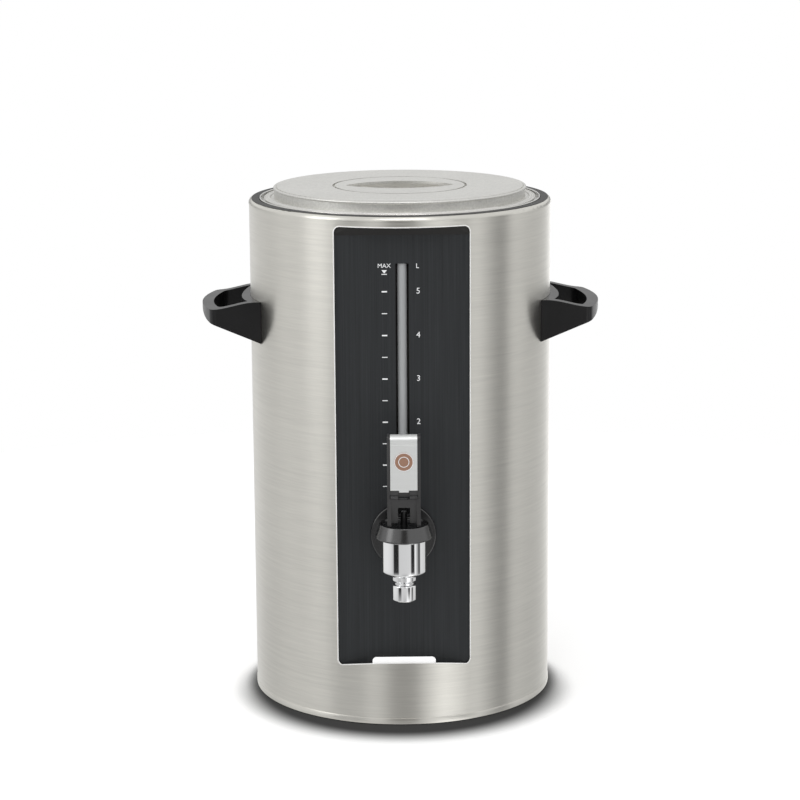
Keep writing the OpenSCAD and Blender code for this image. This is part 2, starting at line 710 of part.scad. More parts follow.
// Plan of a handle that reaches along +X: straight sides, a bowed tip with rounded corners
module handle_plan(inset, corner) {
    centre_x = tip_x - tip_r;
    r = tip_r - inset;
    half = handle_w / 2 - inset;
    c = [centre_x + sqrt(pow(r - corner, 2) - pow(half - corner, 2)), half - corner];
    a = asin((half - corner) / (r - corner));
    difference() {
        intersection() {
            translate([centre_x, 0]) circle(r = r, $fn = 240);
            translate([0, -half]) square([tip_x + 1, 2 * half]);
        }
        for (m = [0, 1]) mirror([0, m]) difference() {
            polygon([c, c + [0, 30], c + 40 * [sin(30), cos(30)], c + 30 * [cos(a), sin(a)]]);
            translate(c) circle(r = corner, $fn = 48);
        }
    }
}

// Side view of a handle, in x and z: an eased top, a rising underside and a rounded tip
module handle_side() {
    r = 9;
    x0 = shell_r - 16;
    low = handle_top - root_h;
    foot = [shell_r - 10, low];
    ease = function (x)
        let (s = min(1, max(0, (x - shell_r + 6) / (handle_reach - 3)))) s * s * (3 - 2 * s);
    rise = atan(under_slope);
    c = [tip_x - r, low + (tip_x - r - foot[0]) * under_slope + r / cos(rise)];
    polygon(concat(
        [[x0, handle_top], [x0, low + (x0 - foot[0]) * under_slope]],
        [for (i = [0 : 8]) let (a = rise - 90 + (90 - rise) * i / 8) c + r * [cos(a), sin(a)]],
        [for (i = [0 : 16]) let (x = tip_x - (tip_x - x0) * i / 16)
            [x, handle_top - crown_fall * ease(x)]]
    ));
}

module handle() difference() {
    intersection() {
        translate([0, 0, -1]) linear_extrude(height = body_h) handle_plan(0, tip_corner);
        translate([0, handle_w, 0]) rotate([90, 0, 0])
            linear_extrude(height = 2 * handle_w) handle_side();
    }
    translate([0, 0, -2]) cylinder(r = shell_r + 0.15, h = body_h + 4, $fn = 180);
    translate([0, 0, -2]) linear_extrude(height = body_h + 4) difference() {
        handle_plan(grip_t, tip_corner - 1);
        circle(r = shell_r + handle_base, $fn = 180);
    }
    for (y = [-1, 1]) translate([shell_r - 5, y * screw_y, screw_z]) rotate([0, 90, 0])
        cylinder(r = screw_r + run, h = 9, $fn = 24);
}

module handle_left() color([0.1, 0.1, 0.1]) mirror([1, 0, 0]) handle();
module handle_right() color([0.1, 0.1, 0.1]) handle();

module handle_brackets() color([0.6, 0.6, 0.6]) for (m = [0, 1]) mirror([m, 0, 0]) difference() {
    intersection() {
        translate([0, 0, screw_z - block_h / 2]) cylinder(r = shell_ri - fit, h = block_h, $fn = 180);
        translate([block_in, -block_half, 0]) cube([shell_r - block_in, 2 * block_half, body_h]);
    }
    for (y = [-1, 1]) translate([block_in - 1, y * screw_y, screw_z]) rotate([0, 90, 0])
        cylinder(r = screw_r + fit, h = block_t + 2, $fn = 24);
}

module handle_screws() color([0.55, 0.55, 0.55])
    for (m = [0, 1], y = [-1, 1]) mirror([m, 0, 0]) translate([block_in, y * screw_y, screw_z])
        rotate([0, 90, 0]) {
            translate([0, 0, -2.5]) cylinder(r = 4.5, h = 2.5, $fn = 32);
            cylinder(r = screw_r, h = shell_r + 3.7 - block_in, $fn = 24);
        }

// ---- Lid ----

module lid_cover() color([0.8, 0.8, 0.78]) rotate_extrude($fn = 180) {
    hole_r = grip_r + grip_groove;
    ledge_z = lid_top - 3;
    lip_c = lid_wall_r + 0.8 - lip_roll;
    // flange with its stiffening bead and rolled edge
    translate([lid_wall_r - lid_t, lid_flange]) square([lid_edge_r - lid_wall_r + lid_t - 0.6, lid_t]);
    translate([lid_edge_r - 0.6, lid_flange + 0.9]) circle(r = 0.6, $fn = 32);
    intersection() {
        translate([(lid_wall_r + lid_edge_r) / 2, lid_flange + lid_t - 0.6]) circle(r = 1.6, $fn = 48);
        translate([0, lid_flange]) square([lid_edge_r, 5]);
    }
    // wall, rolled lip, and the top, which ends at a narrow groove inside the lip
    translate([lid_wall_r - lid_t, lid_flange]) square([lid_t, lid_top - lip_roll - lid_flange]);
    translate([lip_c, lid_top - lip_roll - 0.1]) circle(r = lip_roll, $fn = 48);
    translate([lip_c - lip_roll - 1, lid_top - lid_t - 0.8]) square([lip_roll + 1, 0.9]);
    translate([hole_r, lid_top - lid_t]) square([lip_c - lip_roll - 0.2 - hole_r, lid_t]);
    // recess that carries the grip plate
    translate([hole_r, ledge_z]) square([lid_t, lid_top - ledge_z]);
    translate([grip_r - 3.7, ledge_z]) square([hole_r + lid_t - grip_r + 3.7, lid_t]);
}

module lens(grow) {
    r_front = (pow(lens_half, 2) + pow(lens_front, 2)) / (2 * lens_front);
    r_back = (pow(lens_half, 2) + pow(lens_back, 2)) / (2 * lens_back);
    intersection() {
        translate([0, r_front - lens_front]) circle(r = r_front + grow, $fn = 180);
        translate([0, lens_back - r_back]) circle(r = r_back + grow, $fn = 180);
    }
}

module lid_grip() color([0.8, 0.8, 0.78]) translate([0, 0, lid_top - 2]) difference() {
    cylinder(r = grip_r, h = 2, $fn = 120);
    translate([0, 0, -1]) linear_extrude(height = 4) lens(0);
}

module lid_cup() color([0.78, 0.78, 0.76]) rotate_extrude($fn = 120) {
    bowl_r = grip_r - 4.7;
    top = lid_top - 3;
    bend = 5;
    translate([bowl_r - 1, cup_foot + bend]) square([1, top - cup_foot - bend]);
    translate([bowl_r - bend, cup_foot + bend]) mirror([0, 1]) quarter_ring(bend, 1);
    translate([0, cup_foot]) square([bowl_r - bend, 1]);
    translate([bowl_r - 1, top - 1]) square([grip_r - bowl_r + 1.5, 1]);
}

module lid_pan() color([0.75, 0.75, 0.74]) rotate_extrude($fn = 180) {
    pan_r = tank_r - 1.9;
    bend = 4;
    translate([0, plug_floor]) square([pan_r - bend, pan_t]);
    translate([pan_r - bend, plug_floor + bend]) mirror([0, 1]) quarter_ring(bend, pan_t);
    translate([pan_r - pan_t, plug_floor + bend]) square([pan_t, lid_flange - plug_floor - bend]);
    translate([pan_r - pan_t, lid_flange - pan_t]) square([lid_edge_r - 1.4 - pan_r, pan_t]);
}

module lid_core() color([0.93, 0.88, 0.7]) rotate_extrude($fn = 180) {
    r = tank_r - 1.9 - pan_t - fit;
    low = plug_floor + pan_t + fit;
    bowl_r = grip_r - 4.7 + seat;
    step_r = grip_r + grip_groove + lid_t + seat;
    polygon([
        [0, low], [r - 4, low], [r, low + 4], [r, lid_top - lid_t - fit],
        [step_r, lid_top - lid_t - fit], [step_r, lid_top - 4 - fit],
        [bowl_r, lid_top - 4 - fit], [bowl_r, cup_foot - seat], [0, cup_foot - seat]
    ]);
}

module lid_seal() color([0.88, 0.88, 0.85])
    translate([0, 0, flange_top + seat]) tube(lid_edge_r - 2, tank_ro + 1.5, seal_t, $fn = 180);

place() outer_shell();
place() top_ring();
place() inner_tank();
place() tank_floor();
place() insulation();
place() base_plate();
place() feet();
place() foot_screws();
place() front_frame();
place() front_plate();
place() sill_insert();
place() gauge_tube();
place() gauge_tee();
place() gauge_cap();
place() gauge_seals();
place() tap_rosette();
place() tap_body();
place() tap_spout();
place() tap_nozzle();
place() tap_bonnet();
place() shank_nut();
place() shank_seals();
place() stem_seal();
place() return_spring();
place() valve_stem();
place() valve_cup();
place() lever_frame();
place() lever_insert();
place() lever_badge();
place() lever_pin();
place() handle_left();
place() handle_right();
place() handle_brackets();
place() handle_screws();
place() lid_cover();
place() lid_grip();
place() lid_cup();
place() lid_pan();
place() lid_core();
place() lid_seal();
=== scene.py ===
"""Insulated drinks urn with a lever tap: finishes, printed scale, softened pieces and a studio.

Pieces are drawn in millimetres round the tank's axis, from the table up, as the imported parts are,
and to_frame() turns that into the frame's metres. The settings that a user changes are in metres.
"""

import json
import math

import bmesh
import bpy
from mathutils import Matrix, Vector


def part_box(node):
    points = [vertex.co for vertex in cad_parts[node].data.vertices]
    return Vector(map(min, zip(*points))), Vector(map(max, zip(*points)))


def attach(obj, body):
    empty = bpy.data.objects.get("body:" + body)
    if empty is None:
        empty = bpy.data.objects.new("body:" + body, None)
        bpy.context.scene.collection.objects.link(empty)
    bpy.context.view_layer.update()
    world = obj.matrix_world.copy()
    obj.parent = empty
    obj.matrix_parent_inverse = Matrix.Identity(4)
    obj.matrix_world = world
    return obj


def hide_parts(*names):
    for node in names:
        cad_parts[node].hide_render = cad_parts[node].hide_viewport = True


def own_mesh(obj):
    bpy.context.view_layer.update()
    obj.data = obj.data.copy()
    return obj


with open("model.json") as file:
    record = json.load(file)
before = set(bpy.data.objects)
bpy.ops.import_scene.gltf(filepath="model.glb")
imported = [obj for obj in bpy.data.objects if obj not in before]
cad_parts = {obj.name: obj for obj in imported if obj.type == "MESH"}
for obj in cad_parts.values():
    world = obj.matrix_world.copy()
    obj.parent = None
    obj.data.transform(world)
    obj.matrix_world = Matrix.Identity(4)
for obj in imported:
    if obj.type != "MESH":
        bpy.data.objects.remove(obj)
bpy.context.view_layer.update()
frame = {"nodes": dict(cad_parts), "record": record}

bl_info = {
    "name": "Insulated Drinks Urn",
    "version": (1, 0, 0),
    "blender": (4, 5, 0),
    "location": "View3D > Sidebar > Urn",
    "description": "Finishes, printed scale, softened pieces and a studio for a drinks urn",
    "category": "Object",
}

MM = 0.001
COLOUR = {"subtype": "COLOR", "size": 3, "min": 0.0, "max": 1.0}


def node_span(node):
    """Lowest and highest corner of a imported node, in millimetres."""
    low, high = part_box(node)
    return Vector(low) / MM, Vector(high) / MM


AXIS_Y = sum(corner.y for corner in node_span("lid_cover")) / 2
PANEL_Y = node_span("front_plate")[0].y

# How far the rolled top of the shell stands out from its face
ROLL_REACH = 0.4
# Corners closer than this lie on one face or at one height, in metres
NEAR = 1e-5
# Angle in degrees over which an edge of the shell's window counts as its outline
WINDOW_ANGLE = 40


# ---- Sizes and colours that a user would change ----


class UrnScale(bpy.types.PropertyGroup):
    """The litre scale printed on the front panel."""

    top_mark: bpy.props.FloatProperty(
        name="Top Mark",
        description="Height of the highest litre mark above the table",
        default=0.3421,
        unit="LENGTH",
    )
    litre: bpy.props.FloatProperty(
        name="Litre", description="Height of one litre in the tank", default=0.0339, unit="LENGTH"
    )
    litres: bpy.props.IntProperty(
        name="Litres", description="Litres on the scale", default=5, min=1
    )
    mark_width: bpy.props.FloatProperty(
        name="Mark Width", description="Length of each mark", default=0.0041, unit="LENGTH"
    )
    mark_x: bpy.props.FloatProperty(
        name="Mark Offset",
        description="Distance of the marks to the left of the gauge",
        default=0.0135,
        unit="LENGTH",
    )
    figure_x: bpy.props.FloatProperty(
        name="Figure Offset",
        description="Distance of the figures to the right of the gauge",
        default=0.0122,
        unit="LENGTH",
    )
    figure_height: bpy.props.FloatProperty(
        name="Figure Height", description="Height of the figures", default=0.0044, unit="LENGTH"
    )


class UrnColours(bpy.types.PropertyGroup):
    """Base colours of the finishes."""

    shell: bpy.props.FloatVectorProperty(
        name="Shell",
        description="Brushed sheet of the shell",
        default=(0.78, 0.765, 0.71),
        **COLOUR,
    )
    lid: bpy.props.FloatVectorProperty(
        name="Lid", description="Satin sheet of the lid", default=(0.76, 0.755, 0.725), **COLOUR
    )
    panel: bpy.props.FloatVectorProperty(
        name="Panel",
        description="Brushed black front panel",
        default=(0.026, 0.0285, 0.031),
        **COLOUR,
    )
    plastic: bpy.props.FloatVectorProperty(
        name="Plastic", description="Moulded handles", default=(0.006, 0.006, 0.0065), **COLOUR
    )
    lever: bpy.props.FloatVectorProperty(
        name="Lever", description="Moulded lever", default=(0.030, 0.030, 0.031), **COLOUR
    )
    insert: bpy.props.FloatVectorProperty(
        name="Insert", description="Plate let into the lever", default=(0.78, 0.79, 0.78), **COLOUR
    )
    badge: bpy.props.FloatVectorProperty(
        name="Badge", description="Round badge on the lever", default=(0.46, 0.27, 0.19), **COLOUR
    )
    print: bpy.props.FloatVectorProperty(
        name="Print", description="Printed marks and figures", default=(0.86, 0.87, 0.88), **COLOUR
    )


class UrnStudio(bpy.types.PropertyGroup):
    """Camera and floor."""

    camera_place: bpy.props.FloatVectorProperty(
        name="Camera Place",
        description="Place of the camera from the foot of the tank's axis",
        default=(-0.0255, -2.002, 0.66698),
        unit="LENGTH",
    )
    camera_yaw: bpy.props.FloatProperty(
        name="Camera Yaw",
        description="Turn of the camera to the right",
        default=0.01236,
        unit="ROTATION",
    )
    camera_pitch: bpy.props.FloatProperty(
        name="Camera Pitch",
        description="Tilt of the camera below the horizon",
        default=0.2126,
        unit="ROTATION",
    )
    camera_roll: bpy.props.FloatProperty(
        name="Camera Roll", description="Roll of the camera", default=-0.00603, unit="ROTATION"
    )
    camera_lens: bpy.props.FloatProperty(
        name="Camera Lens",
        description="Focal length on a 36 mm sensor",
        default=113.73,
        unit="CAMERA",
    )
    table_radius: bpy.props.FloatProperty(
        name="Table Radius", description="Radius of the pale floor", default=0.95, unit="LENGTH"
    )
    # Both shades of the foot are painted into the floor's colour and glow: a painted crease shade
    # and a painted soft shadow that lies a little in front of the foot
    shade_reach: bpy.props.FloatProperty(
        name="Shade Reach",
        description="Reach of the shade that gathers round the foot",
        default=0.022,
        unit="LENGTH",
    )
    shade_forward: bpy.props.FloatProperty(
        name="Shade Forward",
        description="How far the soft shade of the foot lies in front of it",
        default=0.024,
        unit="LENGTH",
    )


# ---- Finishes ----


class Wire:
    """A value in a finish, which adds Math nodes as Python works with it."""

    def __init__(self, finish, node, output=0):
        self.finish, self.source = finish, node
        self.socket = node.outputs[output] if node.outputs else None

    def out(self, output):
        return Wire(self.finish, self.source, output)

    def _math(self, operation, *values):
        return self.finish.node("Math", {"operation": operation}, *values)

    def __add__(self, other):
        return self._math("ADD", self, other)

    def __radd__(self, other):
        return self._math("ADD", other, self)

    def __sub__(self, other):
        return self._math("SUBTRACT", self, other)

    def __rsub__(self, other):
        return self._math("SUBTRACT", other, self)

    def __mul__(self, other):
        return self._math("MULTIPLY", self, other)

    def __rmul__(self, other):
        return self._math("MULTIPLY", other, self)

    def __truediv__(self, other):
        return self._math("DIVIDE", self, other)

    def __gt__(self, other):
        return self._math("GREATER_THAN", self, other)

    def __lt__(self, other):
        return self._math("LESS_THAN", self, other)


class Finish:
    """A node tree under construction: a material's, or the world's."""

    def __init__(self, owner):
        owner.use_nodes = True
        self.owner, self.tree = owner, owner.node_tree
        self.tree.nodes.clear()

    def node(self, kind, settings=None, *values, **named):
        """Adds a node: its settings first, then the values or links of its sockets."""
        made = self.tree.nodes.new("ShaderNode" + kind)
        for name, value in (settings or {}).items():
            if name == "stops":
                self._set_stops(made.color_ramp, value)
            else:
                setattr(made, name, value)
        sockets = [s for s in made.inputs if s.enabled]
        for socket, value in zip(sockets, values):
            self._feed(socket, value)
        for name, value in named.items():
            wanted = name.replace("_", " ")
            self._feed(next(s for s in sockets if s.name == wanted), value)
        return Wire(self, made)

    def _set_stops(self, ramp, stops):
        """Sets a ramp's stops, each a place and a grey level."""
        while len(ramp.elements) < len(stops):
            ramp.elements.new(1.0)
        for element, (place, level) in zip(ramp.elements, stops):
            element.position = place
            element.color = (level, level, level, 1.0)

    def _feed(self, socket, value):
        if isinstance(value, Wire):
            self.tree.links.new(value.socket, socket)
        elif value is not None:
            size = len(socket.default_value) if hasattr(socket.default_value, "__len__") else 0
            if size == 4 and hasattr(value, "__len__"):
                value = (*value, 1.0)[:4]
            elif size and not hasattr(value, "__len__"):
                value = (value,) * size
            socket.default_value = value

    def place(self, centre=(0.0, 0.0, 0.0)):
        """Object coordinates in metres, counted from a centre."""
        coordinates = self.node("TexCoord").out("Object")
        return self.node("Mapping", None, coordinates, Location=tuple(-c for c in centre))

    def noise(self, place, scale, detail=2.0, roughness=0.5):
        """Noise from 0 to 1 with a scale, in features per metre, for each axis."""
        stretched = self.node("VectorMath", {"operation": "MULTIPLY"}, place, scale)
        return self.node("TexNoise", None, stretched, Scale=1.0, Detail=detail, Roughness=roughness)

    def slope(self, value, ends, start=0.0, end=1.0):
        """Goes smoothly from one level to another while a value goes from end to end."""
        smooth = {"interpolation_type": "SMOOTHSTEP"}
        return self.node("MapRange", smooth, value, *ends, start, end)

    def blend(self, factor, first, second):
        return self.node("Mix", {"data_type": "RGBA"}, factor, first, second).out("Result")

    def either(self, first, second):
        return self.node("Math", {"operation": "MAXIMUM"}, first, second)

    def tinted(self, colour, amount, wave):
        """A colour made darker and lighter by a wave round 0.5."""
        darker = tuple(c * (1 - amount) for c in colour)
        lighter = tuple(min(1.0, c * (1 + amount)) for c in colour)
        return self.blend(wave, darker, lighter)

    def bump(self, height, strength, distance=0.0002):
        return self.node("Bump", None, Strength=strength, Distance=distance, Height=height)

    def principled(self, **sockets):
        """Closes a material with a Principled BSDF."""
        self.node("OutputMaterial", None, self.node("BsdfPrincipled", None, **sockets))
        return self.owner


def colour_of(name):
    return tuple(getattr(bpy.context.scene.urn_colours, name))


def new_finish(name):
    return Finish(bpy.data.materials.new(name))


def brushed_sheet(name, colour, grain, roughness, bands, anisotropic, turn, metallic=1.0):
    """Brushed stainless sheet; grain gives the features per metre along each axis."""
    f = new_finish(name)
    place = f.place((0, AXIS_Y * MM, 0))
    fine = f.noise(place, grain, detail=3.0, roughness=0.65)
    broad = f.noise(place, tuple(g * 0.3 for g in grain), detail=2.0)
    return f.principled(
        Base_Color=f.tinted(colour, bands, fine * 0.5 + broad * 0.5),
        Metallic=metallic,
        Roughness=roughness + (fine - 0.5) * 0.12,
        Anisotropic=anisotropic,
        Anisotropic_Rotation=turn,
        Normal=f.bump(fine, strength=0.10),
    )


def satin_sheet(name, colour, roughness, grain, speckle, metallic=1.0):
    """Blasted or finely ground steel with no direction."""
    f = new_finish(name)
    place = f.place((0, AXIS_Y * MM, 0))
    fine = f.noise(place, (grain,) * 3, detail=3.0, roughness=0.7)
    cloud = f.noise(place, (28.0,) * 3, detail=3.0)
    return f.principled(
        Base_Color=f.tinted(colour, speckle, fine * 0.8 + cloud * 0.2),
        Metallic=metallic,
        Roughness=roughness + (fine - 0.5) * 0.15,
        Normal=f.bump(fine, strength=0.30),
    )


def moulded_plastic(
    name, colour, roughness, grain=1800.0, depth=0.10, gloss=0.5, glow=0.0, ior=1.5
):
    """Moulded plastic with a fine spark-eroded grain and slight wear in its sheen."""
    f = new_finish(name)
    place = f.place()
    fine = f.noise(place, (grain,) * 3, detail=2.0, roughness=0.6)
    cloud = f.noise(place, (45.0,) * 3, detail=3.0)
    return f.principled(
        Base_Color=f.tinted(colour, 0.10, cloud),
        Roughness=roughness + (cloud - 0.5) * 0.10,
        Specular_IOR_Level=gloss,
        IOR=ior,
        # A glow above nought is painted light: the piece shines though it is no lamp
        Emission_Color=(1.0, 1.0, 1.0),
        Emission_Strength=glow,
        Normal=f.bump(fine, strength=depth, distance=0.0001),
    )


def bare_metal(name, colour, roughness, grain=400.0):
    """Turned, plated or polished metal with a trace of handling in its sheen."""
    f = new_finish(name)
    smear = f.noise(f.place(), (grain,) * 3, detail=2.0)
    return f.principled(
        Base_Color=f.tinted(colour, 0.015, smear),
        Metallic=1.0,
        Roughness=roughness + (smear - 0.5) * roughness * 0.5,
    )


def black_panel(name, colour):
    """Black sheet brushed up and down."""
    f = new_finish(name)
    place = f.place()
    fine = f.noise(place, (1100.0, 1100.0, 9.0), detail=3.0, roughness=0.65)
    broad = f.noise(place, (300.0, 300.0, 4.0), detail=2.0)
    return f.principled(
        Base_Color=f.tinted(colour, 0.75, fine * 0.7 + broad * 0.3),
        Metallic=0.25,
        Roughness=0.44 + (fine - 0.5) * 0.20,
        Normal=f.bump(fine, strength=0.20),
    )


def printed_ink(name, colour):
    """Matt ink with a trace of the screen it was printed through."""
    f = new_finish(name)
    speck = f.noise(f.place(), (3000.0,) * 3, detail=2.0)
    return f.principled(Base_Color=f.tinted(colour, 0.05, speck), Roughness=0.5)


def sight_glass(name):
    """Sight glass with a milky back, against which its level shows."""
    f = new_finish(name)
    film = f.noise(f.place(), (300.0, 300.0, 40.0), detail=3.0)
    return f.principled(
        Base_Color=f.tinted((0.42, 0.43, 0.435), 0.10, film),
        Roughness=0.12 + film * 0.10,
        IOR=1.47,
        Transmission_Weight=0.12,
    )


def make_steels():
    """Finishes of the steel and plated pieces, by name."""
    return {
        "shell_steel": brushed_sheet(
            "Casing steel",
            colour_of("shell"),
            grain=(55.0, 55.0, 1500.0),
            roughness=0.33,
            bands=0.16,
            anisotropic=0.8,
            turn=0.25,
        ),
        "insert_steel": brushed_sheet(
            "Insert steel",
            colour_of("insert"),
            grain=(60.0, 1200.0, 1200.0),
            roughness=0.36,
            bands=0.04,
            anisotropic=0.4,
            turn=0.0,
            metallic=0.45,
        ),
        "lid_steel": satin_sheet(
            "Lid steel", colour_of("lid"), roughness=0.42, grain=560.0, speckle=0.30
        ),
        # A lightened, less metallic copy of the lid's steel for the finger cup: its brightness is a
        # painted reflection
        "cup_steel": satin_sheet(
            "Cup steel",
            (0.98, 0.96, 0.92),
            roughness=0.34,
            grain=700.0,
            speckle=0.06,
            metallic=0.35,
        ),
        "badge_copper": satin_sheet(
            "Badge copper",
            colour_of("badge"),
            roughness=0.5,
            grain=2400.0,
            speckle=0.08,
            metallic=0.7,
        ),
        "tank_steel": bare_metal("Tank steel", (0.72, 0.715, 0.69), roughness=0.24),
        "bright_steel": bare_metal("Bright steel", (0.66, 0.66, 0.65), roughness=0.3),
        "dark_steel": bare_metal("Dark steel", (0.05, 0.05, 0.052), roughness=0.4),
        "chrome": bare_metal("Chrome", (0.96, 0.965, 0.97), roughness=0.04, grain=120.0),
        "brass": bare_metal("Plated brass", (0.70, 0.64, 0.48), roughness=0.25),
        # A painted highlight: the window's edge gets a near-white, non-metal finish that glows, so
        # that it shines though it is no lamp
        "edge_steel": moulded_plastic(
            "Edge steel", (0.95, 0.95, 0.94), roughness=0.30, grain=900.0, glow=0.12
        ),
    }


def make_plastics():
    """Finishes of the panel, the print, the glass and the moulded and soft pieces, by name."""
    return {
        "panel_black": black_panel("Panel black", colour_of("panel")),
        "print": printed_ink("Print", colour_of("print")),
        "glass": sight_glass("Sight glass"),
        "black_plastic": moulded_plastic("Black plastic", colour_of("plastic"), roughness=0.30),
        "ring_plastic": moulded_plastic(
            "Ring plastic", (0.040, 0.040, 0.039), roughness=0.48, gloss=0.25
        ),
        "frame_plastic": moulded_plastic(
            "Frame plastic", (0.022, 0.021, 0.020), roughness=0.5, gloss=0.3
        ),
        # Its glow is painted light: the white foot of the window shines as if lit, though it is no
        # lamp
        "white_plastic": moulded_plastic(
            "White plastic", (0.92, 0.92, 0.92), roughness=0.3, glow=0.55
        ),
        "lever_plastic": moulded_plastic(
            "Lever plastic", colour_of("lever"), roughness=0.30, depth=0.06, gloss=1.0, ior=1.6
        ),
        "cap_plastic": moulded_plastic(
            "Cap plastic", (0.005, 0.005, 0.0055), roughness=0.26, depth=0.05, gloss=1.0, ior=1.66
        ),
        "washer_plastic": moulded_plastic(
            "Washer plastic", (0.006, 0.006, 0.0065), roughness=0.24, depth=0.05, gloss=1.0
        ),
        "silicone": moulded_plastic("Silicone", (0.74, 0.74, 0.71), roughness=0.45),
        "rubber_black": moulded_plastic("Rubber", (0.02, 0.02, 0.02), roughness=0.75),
        "foam": moulded_plastic(
            "Foam", (0.86, 0.76, 0.5), roughness=0.85, grain=900.0, depth=0.4
        ),
    }


FINISHES = {}


def finish_of(name):
    """A finish by its name, which is a material slot's or one of a few more."""
    if not FINISHES:
        FINISHES.update(make_steels() | make_plastics())
    return FINISHES[name]


# ---- Pieces ----


def to_frame():
    """From millimetres round the tank's axis to the frame's metres."""
    return Matrix.Translation((0, AXIS_Y * MM, 0)) @ Matrix.Scale(MM, 4)


def slot_of(node):
    rows = frame["record"]["subparts"]
    return next(row["material_slot"] for row in rows if row["node"] == node)


def body_of(node):
    bodies = frame["record"]["behaviour"]["bodies"]
    return next(body for body, nodes in bodies.items() if node in nodes)


def dress(*nodes, finish=None):
    """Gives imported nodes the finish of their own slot, or another one."""
    for node in nodes:
        mesh = frame["nodes"][node].data
        mesh.materials.clear()
        mesh.materials.append(finish_of(finish or slot_of(node)))


def finish_piece(bm, name, body, slot, place=None, replaced=(), sharp=40.0, finish=None):
    """Makes a bmesh a piece that rides on a body; a place sets one drawn elsewhere in the frame."""
    if place is not None:
        bmesh.ops.transform(bm, matrix=place, verts=bm.verts)
    mesh = bpy.data.meshes.new(name)
    for edge in bm.edges:
        edge.smooth = not edge.is_manifold or edge.calc_face_angle(0.0) < math.radians(sharp)
    for face in bm.faces:
        face.smooth = True
    bm.to_mesh(mesh)
    bm.free()
    mesh.materials.append(finish_of(finish or slot))
    piece = bpy.data.objects.new(name, mesh)
    bpy.context.scene.collection.objects.link(piece)
    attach(piece, body)
    if replaced:
        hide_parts(*replaced)
    return piece


def merged_copy(node, weld=2e-6, flat=0.4):
    """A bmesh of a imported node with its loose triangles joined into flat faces."""
    bm = bmesh.new()
    bm.from_mesh(frame["nodes"][node].data)
    bmesh.ops.remove_doubles(bm, verts=bm.verts, dist=weld)
    bmesh.ops.dissolve_limit(
        bm,
        angle_limit=math.radians(flat),
        use_dissolve_boundaries=False,
        verts=bm.verts,
        edges=bm.edges,
    )
    return bm


def eased_copy(node, name, width, segments, angle=28.0, seam=None, finish=None):
    """A merged copy with rounded edges in a node's place; edges at the seam's height stay."""
    bm = merged_copy(node)
    hard = [e for e in bm.edges if e.is_manifold and e.calc_face_angle(0.0) > math.radians(angle)]
    if seam is not None:
        hard = [e for e in hard if any(abs(v.co.z - seam) > NEAR for v in e.verts)]
    bmesh.ops.bevel(
        bm,
        geom=hard,
        offset=width * MM,
        offset_type="OFFSET",
        segments=segments,
        profile=0.5,
        affect="EDGES",
        clamp_overlap=True,
        material=-1,
    )
    piece = finish_piece(
        bm, name, body_of(node), slot_of(node), replaced=(node,), sharp=50.0, finish=finish
    )
    piece.modifiers.new("Flat faces", "WEIGHTED_NORMAL").keep_sharp = True
    return piece


def spin_ring(bm, profile, steps):
    """Turns a closed profile of radii and heights round the upright axis."""
    ring = [bm.verts.new((radius, 0.0, height)) for radius, height in profile]
    edges = [bm.edges.new((ring[i], ring[(i + 1) % len(ring)])) for i in range(len(ring))]
    bmesh.ops.spin(
        bm,
        geom=ring + edges,
        cent=(0, 0, 0),
        axis=(0, 0, 1),
        angle=2 * math.pi,
        steps=steps,
        use_merge=True,
    )
    bmesh.ops.remove_doubles(bm, verts=bm.verts, dist=1e-4)
    bmesh.ops.recalc_face_normals(bm, faces=bm.faces)


def verts_of(geom):
    return [item for item in geom if isinstance(item, bmesh.types.BMVert)]


# ---- Operators, one for each piece or group of like pieces ----


